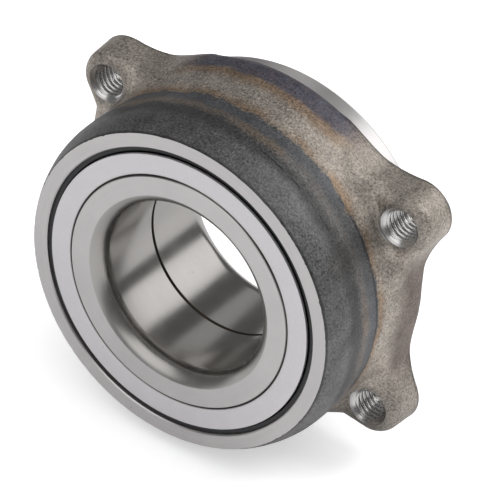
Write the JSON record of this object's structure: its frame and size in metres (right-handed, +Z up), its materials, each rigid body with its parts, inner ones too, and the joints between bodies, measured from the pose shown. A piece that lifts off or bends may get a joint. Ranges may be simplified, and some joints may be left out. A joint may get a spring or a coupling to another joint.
{
  "type": "wheel hub bearing",
  "caption": "Double-row angular-contact wheel bearing with sealed split inner rings and a flanged outer ring carrying tapped ears.",
  "frame": {"origin": "on the bearing axis, in the plane where the two inner rings meet", "axes": "+Y along the bearing axis from the long barrel's face to the pilot, +X along the long side of the bolt rectangle, +Z up"},
  "size_m": [0.1078, 0.0476, 0.0988],
  "materials": {
    "forged_steel": "shot-blasted forging, dark grey barrel with heat tints, machined face and pilot",
    "ground_bearing_steel": "ground end face and honed bore",
    "spring_steel": "plain spring steel",
    "cage_polymer": "moulded polyamide",
    "stainless_sheet": "pressed stainless sheet, matte",
    "case_sheet": "pressed sheet steel",
    "seal_rubber": "moulded nitrile rubber",
    "polished_ball_steel": "lapped ball"
  },
  "bodies": {
    "outer_ring_body": {"outer_ring": "forged_steel", "seal_case_front": "case_sheet", "seal_case_rear": "case_sheet", "seal_rubber_front": "seal_rubber", "seal_rubber_rear": "seal_rubber"},
    "rotor": {"inner_ring_front": "ground_bearing_steel", "inner_ring_rear": "ground_bearing_steel", "inner_ring_clip": "spring_steel", "slinger_front": "stainless_sheet", "slinger_rear": "stainless_sheet"},
    "front_row": {"cage_front": "cage_polymer", "ball_front_01": "polished_ball_steel", "ball_front_02": "polished_ball_steel", "ball_front_03": "polished_ball_steel", "ball_front_04": "polished_ball_steel", "ball_front_05": "polished_ball_steel", "ball_front_06": "polished_ball_steel", "ball_front_07": "polished_ball_steel", "ball_front_08": "polished_ball_steel", "ball_front_09": "polished_ball_steel", "ball_front_10": "polished_ball_steel", "ball_front_11": "polished_ball_steel", "ball_front_12": "polished_ball_steel", "ball_front_13": "polished_ball_steel", "ball_front_14": "polished_ball_steel", "ball_front_15": "polished_ball_steel"},
    "rear_row": {"cage_rear": "cage_polymer", "ball_rear_01": "polished_ball_steel", "ball_rear_02": "polished_ball_steel", "ball_rear_03": "polished_ball_steel", "ball_rear_04": "polished_ball_steel", "ball_rear_05": "polished_ball_steel", "ball_rear_06": "polished_ball_steel", "ball_rear_07": "polished_ball_steel", "ball_rear_08": "polished_ball_steel", "ball_rear_09": "polished_ball_steel", "ball_rear_10": "polished_ball_steel", "ball_rear_11": "polished_ball_steel", "ball_rear_12": "polished_ball_steel", "ball_rear_13": "polished_ball_steel", "ball_rear_14": "polished_ball_steel", "ball_rear_15": "polished_ball_steel"}
  },
  "joints": [
    {"name": "rotor_spin", "type": "hinge", "parent": "outer_ring_body", "child": "rotor", "pos_m": [0, 0, 0], "axis": [0, 1, 0], "continuous": true},
    {"name": "front_row_orbit", "type": "hinge", "parent": "outer_ring_body", "child": "front_row", "pos_m": [0, 0, 0], "axis": [0, 1, 0], "continuous": true},
    {"name": "rear_row_orbit", "type": "hinge", "parent": "outer_ring_body", "child": "rear_row", "pos_m": [0, 0, 0], "axis": [0, 1, 0], "continuous": true}
  ],
  "couplings": [
    {"joint": "front_row_orbit", "follows": "rotor_spin", "ratio": 0.43198},
    {"joint": "rear_row_orbit", "follows": "rotor_spin", "ratio": 0.43198}
  ]
}
